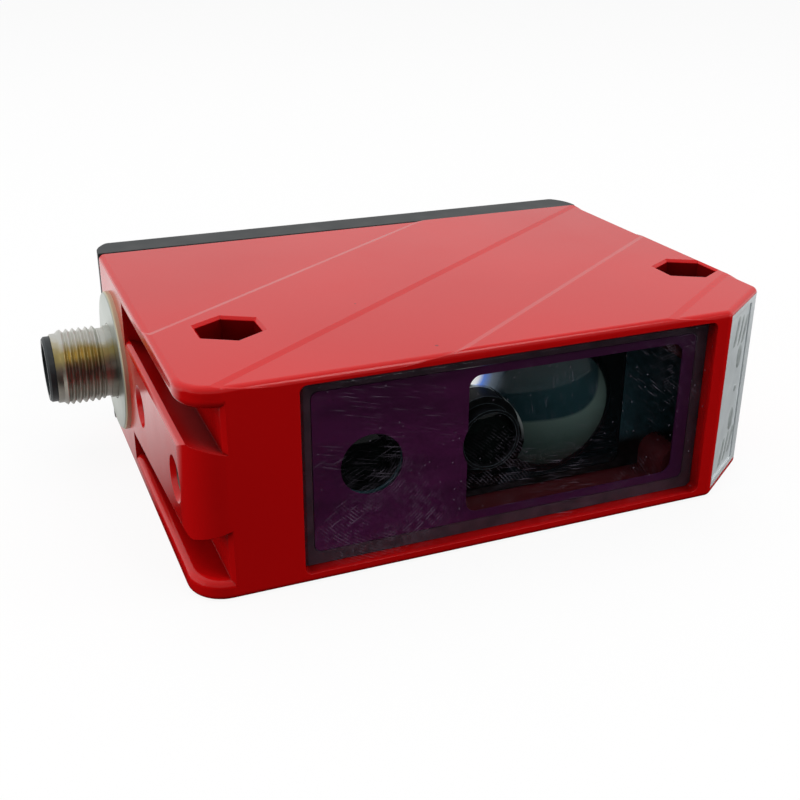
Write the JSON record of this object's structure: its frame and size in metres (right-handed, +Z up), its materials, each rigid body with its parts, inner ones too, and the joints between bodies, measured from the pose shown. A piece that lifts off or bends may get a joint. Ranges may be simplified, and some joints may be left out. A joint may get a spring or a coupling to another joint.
{
  "type": "optical distance sensor",
  "caption": "Flat rectangular optical distance sensor: red cast housing with a wide front window, nut pockets, clamp channels, an indicator strip and a threaded plug on its end.",
  "frame": {"origin": "centre of the case's flat underside", "axes": "+X along the case away from the plug, the window faces -Y, +Z up"},
  "size_m": [0.1012, 0.07, 0.03],
  "materials": {
    "red_paint": "gloss red enamel on die-cast zinc",
    "cover_black": "satin moulded",
    "seal_black": "matt",
    "screw_steel": "zinc plated",
    "window_glass": "polished",
    "lens_clear": "moulded optical plastic, polished",
    "print_purple": "printed film",
    "optic_black": "matt moulded",
    "board_green": "solder mask",
    "chip_black": "moulded resin",
    "flex_amber": "polyimide film",
    "can_metal": "drawn",
    "strip_grey": "translucent moulded",
    "led_white": "moulded",
    "nickel": "nickel plated, turned",
    "gold": "gold plated"
  },
  "bodies": {
    "root": {"housing": "red_paint", "rear_cover": "cover_black", "rear_cover_seal": "seal_black", "rear_cover_screws": "screw_steel", "front_window": "window_glass", "window_seal": "seal_black", "aperture_mask": "print_purple", "optics_carrier": "optic_black", "carrier_screws": "screw_steel", "receiver_lens": "lens_clear", "near_range_barrel": "optic_black", "near_range_lens": "lens_clear", "near_range_detector": "chip_black", "transmitter_barrel": "can_metal", "transmitter_lens": "lens_clear", "laser_diode": "can_metal", "laser_board": "board_green", "laser_flex": "flex_amber", "receiver_board": "board_green", "receiver_detector": "chip_black", "receiver_flex": "flex_amber", "main_board": "board_green", "main_board_screws": "screw_steel", "main_processor": "chip_black", "power_inductor": "chip_black", "buffer_capacitors": "can_metal", "indicator_window": "strip_grey", "indicator_board": "board_green", "indicator_leds": "led_white", "connector_disc": "nickel", "connector_gasket": "seal_black", "connector_shell": "nickel", "connector_insert": "optic_black", "contact_pins": "gold", "connector_nut": "nickel", "connector_board": "board_green", "connector_flex": "flex_amber"}
  },
  "joints": []
}
